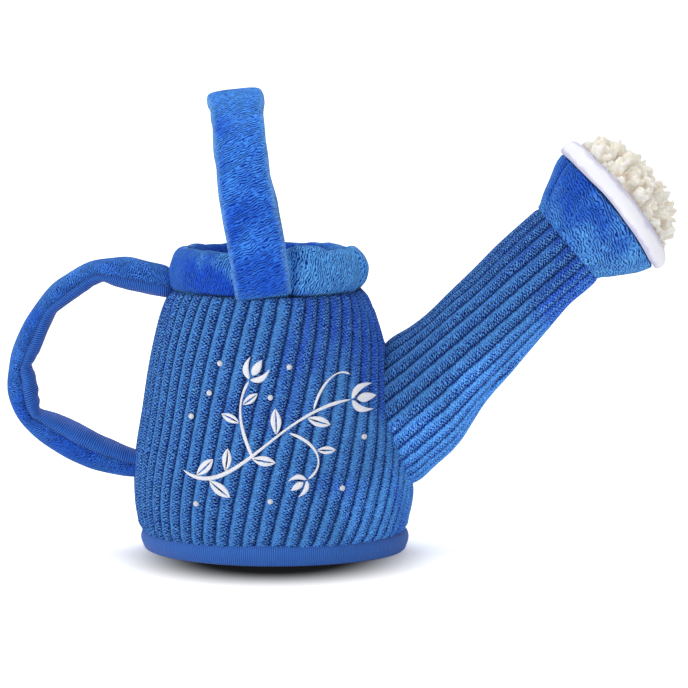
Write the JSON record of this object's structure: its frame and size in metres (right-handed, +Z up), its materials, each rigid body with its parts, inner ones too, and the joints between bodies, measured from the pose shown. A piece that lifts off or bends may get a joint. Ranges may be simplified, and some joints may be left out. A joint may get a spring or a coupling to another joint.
{
  "type": "stuffed toy watering can",
  "caption": "Stuffed fabric watering can of ribbed corduroy, with a padded collar, a carrying strap, a side handle and a plush rose with a fleece face.",
  "frame": {"origin": "centre of the base, on the surface the can stands on", "axes": "+X towards the spout, +Y away from the viewer, +Z up"},
  "size_m": [0.2511, 0.1056, 0.1748],
  "materials": {
    "corduroy": "wide-wale corduroy",
    "plush": "short-pile plush",
    "ribbed_knit": "finely ribbed velour",
    "binding": "fine ribbed tape",
    "lining": "plain weave",
    "rim_cotton": "white plain weave",
    "fleece": "curly fleece",
    "fibre_fill": "loose fibre",
    "felt": "stiff felt",
    "squeaker_skin": "soft vinyl",
    "squeaker_hard": "moulded"
  },
  "bodies": {
    "can": {"body_panel": "corduroy", "base_binding": "binding", "base_panel": "lining", "base_stiffener": "felt", "belly_stuffing": "fibre_fill", "pocket_padding": "fibre_fill", "pocket_lining": "lining", "pocket_floor": "lining", "collar_cover": "plush", "collar_padding": "fibre_fill", "spout_panel": "corduroy", "spout_stuffing": "fibre_fill", "rose_panel_front": "plush", "rose_panel_back": "plush", "rose_stuffing": "fibre_fill", "rose_rim": "rim_cotton", "rose_fleece": "fleece", "side_handle_root_top": "plush", "side_handle_root_bottom": "plush", "carry_strap_root_front": "plush", "carry_strap_root_rear": "plush", "squeaker_bulb": "squeaker_skin", "squeaker_plug": "squeaker_hard", "squeaker_reed": "squeaker_skin"},
    "side_handle": {"side_handle_plush": "plush", "side_handle_ribbed": "ribbed_knit", "side_handle_padding": "fibre_fill"},
    "carry_strap": {"carry_strap_plush": "plush", "carry_strap_backing": "plush", "carry_strap_padding": "fibre_fill"}
  },
  "joints": [
    {"name": "side_handle_swing", "type": "hinge", "parent": "can", "child": "side_handle", "pos_m": [-0.05542, 0, 0.06955], "axis": [0.221, 0, 0.9753], "range_deg": [-50, 50], "stiffness_Nm_per_rad": 0.02},
    {"name": "carry_strap_swing", "type": "hinge", "parent": "can", "child": "carry_strap", "pos_m": [-0.0064, -0.00017, 0.113], "axis": [-0.0262, 0.9997, 0], "range_deg": [-55, 55], "stiffness_Nm_per_rad": 0.03}
  ]
}
